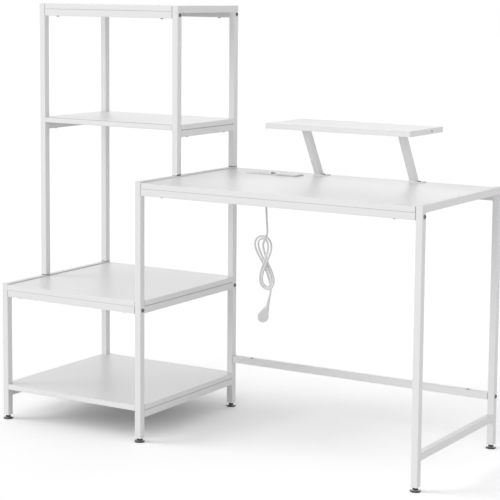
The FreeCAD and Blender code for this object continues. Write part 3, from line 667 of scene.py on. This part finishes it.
def small(name, dark, light, tone_scale, rough, rough_swing, grain_scale, grain_strength,
          foot=None, rims=(), **constants):
    """Tone from a slow noise between dark and light, roughness and height from a fine one.

    foot = (level, height) darkens the lower edge with painted shade. rims = ((x, y, radius), ...) draw
    rings of painted shade: on a circle the difference of the squares of the distance and the radius is 0,
    and near it 2 radius times the gap.
    """
    def surface(place):
        slow = place.noise(tone_scale)
        grain = place.noise(grain_scale, detail=1.0)
        tone = slow.mix(dark, light)
        if foot or rims:
            x, y, z = place.axes()
        # The foot and the rims darken the tone with painted shade.
        if foot:
            level, height = foot
            tone = (z - level).fade(height).mix(tone, gap_shade)
        for centre_x, centre_y, radius in rims:
            off_rim = abs(square_sum(x - centre_x, y - centre_y) - radius ** 2) * (0.5 / radius)
            tone = off_rim.fade(rim_width).mix(tone, gap_shade)
        return {
            "Base Color": tone,
            "Roughness": rough + rough_swing * grain,
            "height": (grain, grain_strength, grain_height),
        }

    return finish(name, surface, **constants)


print("recipe ready")

# %% Small finishes: by slot
moulding = ((0.83, 0.83, 0.833), (0.86, 0.86, 0.86), 60, 0.34, 0.12, 2400, 0.08)
small_finish = {
    "dark_fastener": small("black_oxide", (0.12, 0.12, 0.124), (0.20, 0.20, 0.205), 260, 0.32, 0.2,
                           1400, 0.10, Metallic=0.7),
    "zinc_plug": small("bright_zinc", (0.55, 0.56, 0.58), (0.72, 0.72, 0.73), 180, 0.25, 0.2,
                       900, 0.10, Metallic=1.0),
    "grey_plastic": small("grey_nylon", (0.13, 0.13, 0.14), (0.18, 0.18, 0.19), 120, 0.5, 0.15,
                          1800, 0.12),
    "foot_steel": small("black_foot", (0.03, 0.03, 0.032), (0.06, 0.06, 0.064), 150, 0.35, 0.2,
                        1500, 0.12),
    "white_plastic": small("white_moulding", *moulding),
    "dark_plastic": small("dark_rocker", (0.22, 0.22, 0.224), (0.27, 0.27, 0.275), 90, 0.06, 0.04,
                          2200, 0.01),
    "white_cord": small("white_pvc", (0.83, 0.83, 0.825), (0.87, 0.87, 0.865), 90, 0.42, 0.12,
                        1500, 0.10),
    "brass_blade": small("bright_brass", (0.74, 0.56, 0.25), (0.82, 0.66, 0.34), 300, 0.22, 0.15,
                         1600, 0.06, Metallic=1.0),
}
print("slots", list(small_finish))

# %% Small finishes: power strip
outlet_radius = 12 * MM
outlets_from_left = (23 * MM, 51 * MM)
# Heights of the painted shade at the foot of the face plate and of the cover.
plate_gap, cover_gap = 0.5 * MM, 0.9 * MM
face_low, face_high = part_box("strip_face_plate")
face_middle = (face_low.y + face_high.y) / 2
outlet_rims = [(face_low.x + start, face_middle, outlet_radius) for start in outlets_from_left]
desktop_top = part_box("desktop")[1].z
cover_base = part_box("strip_cover")[0].z
lined_finish = {
    "strip_face_plate": small("face_moulding", *moulding, foot=(desktop_top, plate_gap), rims=outlet_rims),
    "socket_inserts": small("outlet_moulding", *moulding, rims=outlet_rims),
    "strip_cover": small("cover_moulding", *moulding, foot=(cover_base, cover_gap)),
}
print("power strip", list(lined_finish))

# %% [markdown]
# ## Dressing
# A solid takes the finish made for it by name, or else the one for its material slot, or else the white
# coat. Assigning to the slots that the solids brought along keeps their meshes untouched. The new
# pieces get theirs by appending, and each foot gets two, one dark and one plated.

# %% Dress the solids
for part in frame["record"]["subparts"]:
    node, slot = part["node"], part["material_slot"]
    by_node = board_finish.get(node) or tube_finish.get(node) or lined_finish.get(node)
    chosen = by_node or small_finish.get(slot) or steel_white
    for entry in solids[node].material_slots:
        entry.material = chosen
lead_curve.materials.append(small_finish["white_cord"])
for piece in (sleeve, plug):
    piece.data.materials.append(small_finish["white_cord"])
for foot in feet:
    foot.data.materials.append(small_finish["foot_steel"])
    foot.data.materials.append(small_finish["zinc_plug"])

# %% [markdown]
# ## Studio
# The picture is a plain white studio: even light from all round, a wide soft lamp low on the left,
# which reaches in over the shelves, weaker ones on the other three sides, and a pale floor that runs
# out to white but keeps the soft shadow of the desk. Area lamps would fade along the floor, so the
# lamps are suns with a wide disc. The floor and the sky look white where they are seen, straight or in
# a reflection, and light the desk at a plain level.

# %% Floor
def seen_share(tree):
    """1 for rays that show a surface to the camera, straight, mirrored or through glass, otherwise 0."""
    path = Wire(tree).node("ShaderNodeLightPath").socket.node
    kinds = ("Camera", "Glossy", "Transmission")
    return sum(Wire(tree, path.outputs["Is %s Ray" % kind]) for kind in kinds)


floor_half = 40.0
floor_lit, floor_seen = (0.93, 0.93, 0.93), (1.4, 1.4, 1.4)
floor_mesh = bpy.data.meshes.new("floor")
corners = np.array(((-1, -1), (1, -1), (1, 1), (-1, 1))) * floor_half
floor_mesh.from_pydata(np.c_[corners, np.full(4, cad_box[0].z)].tolist(), [], [(0, 1, 2, 3)])
floor = bpy.data.objects.new("floor", floor_mesh)
bpy.context.scene.collection.objects.link(floor)
floor_paint = bpy.data.materials.new("studio_floor")
floor_paint.use_nodes = True
floor_tree = floor_paint.node_tree
floor_tree.nodes.remove(floor_tree.nodes["Principled BSDF"])
floor_white = seen_share(floor_tree).mix(floor_lit, floor_seen)
floor_matt = floor_white.node("ShaderNodeBsdfDiffuse", None, {"Color": floor_white})
floor_tree.links.new(floor_matt.socket, floor_tree.nodes["Material Output"].inputs["Surface"])
floor_mesh.materials.append(floor_paint)
print("floor", floor_half * 2, "m across")

# %% Lamps and sky
lamps = {
    "left": {"energy": 1.50, "spread": 36, "toward": (-0.80, -0.42, 0.36)},
    "front": {"energy": 0.40, "spread": 50, "toward": (0.10, -0.95, 0.25)},
    "back": {"energy": 0.30, "spread": 50, "toward": (-0.30, 0.90, 0.35)},
    "right": {"energy": 0.38, "spread": 60, "toward": (0.90, -0.30, 0.30)},
}
for name, lamp in lamps.items():
    data = bpy.data.lights.new(name, "SUN")
    data.energy = lamp["energy"]
    data.angle = math.radians(lamp["spread"])
    sun = bpy.data.objects.new(name, data)
    bpy.context.scene.collection.objects.link(sun)
    sun.rotation_mode = "QUATERNION"
    sun.rotation_quaternion = Vector(lamp["toward"]).to_track_quat("Z", "Y")

world = bpy.data.worlds.new("studio")
bpy.context.scene.world = world
world.use_nodes = True
sky_level = 0.47
strength = sky_level + (1 - sky_level) * seen_share(world.node_tree)
sky = world.node_tree.nodes["Background"]
sky.inputs["Color"].default_value = (1, 1, 1, 1)
world.node_tree.links.new(strength.socket, sky.inputs["Strength"])
bpy.context.scene.view_settings.view_transform = "Standard"
print("lamps", list(lamps))
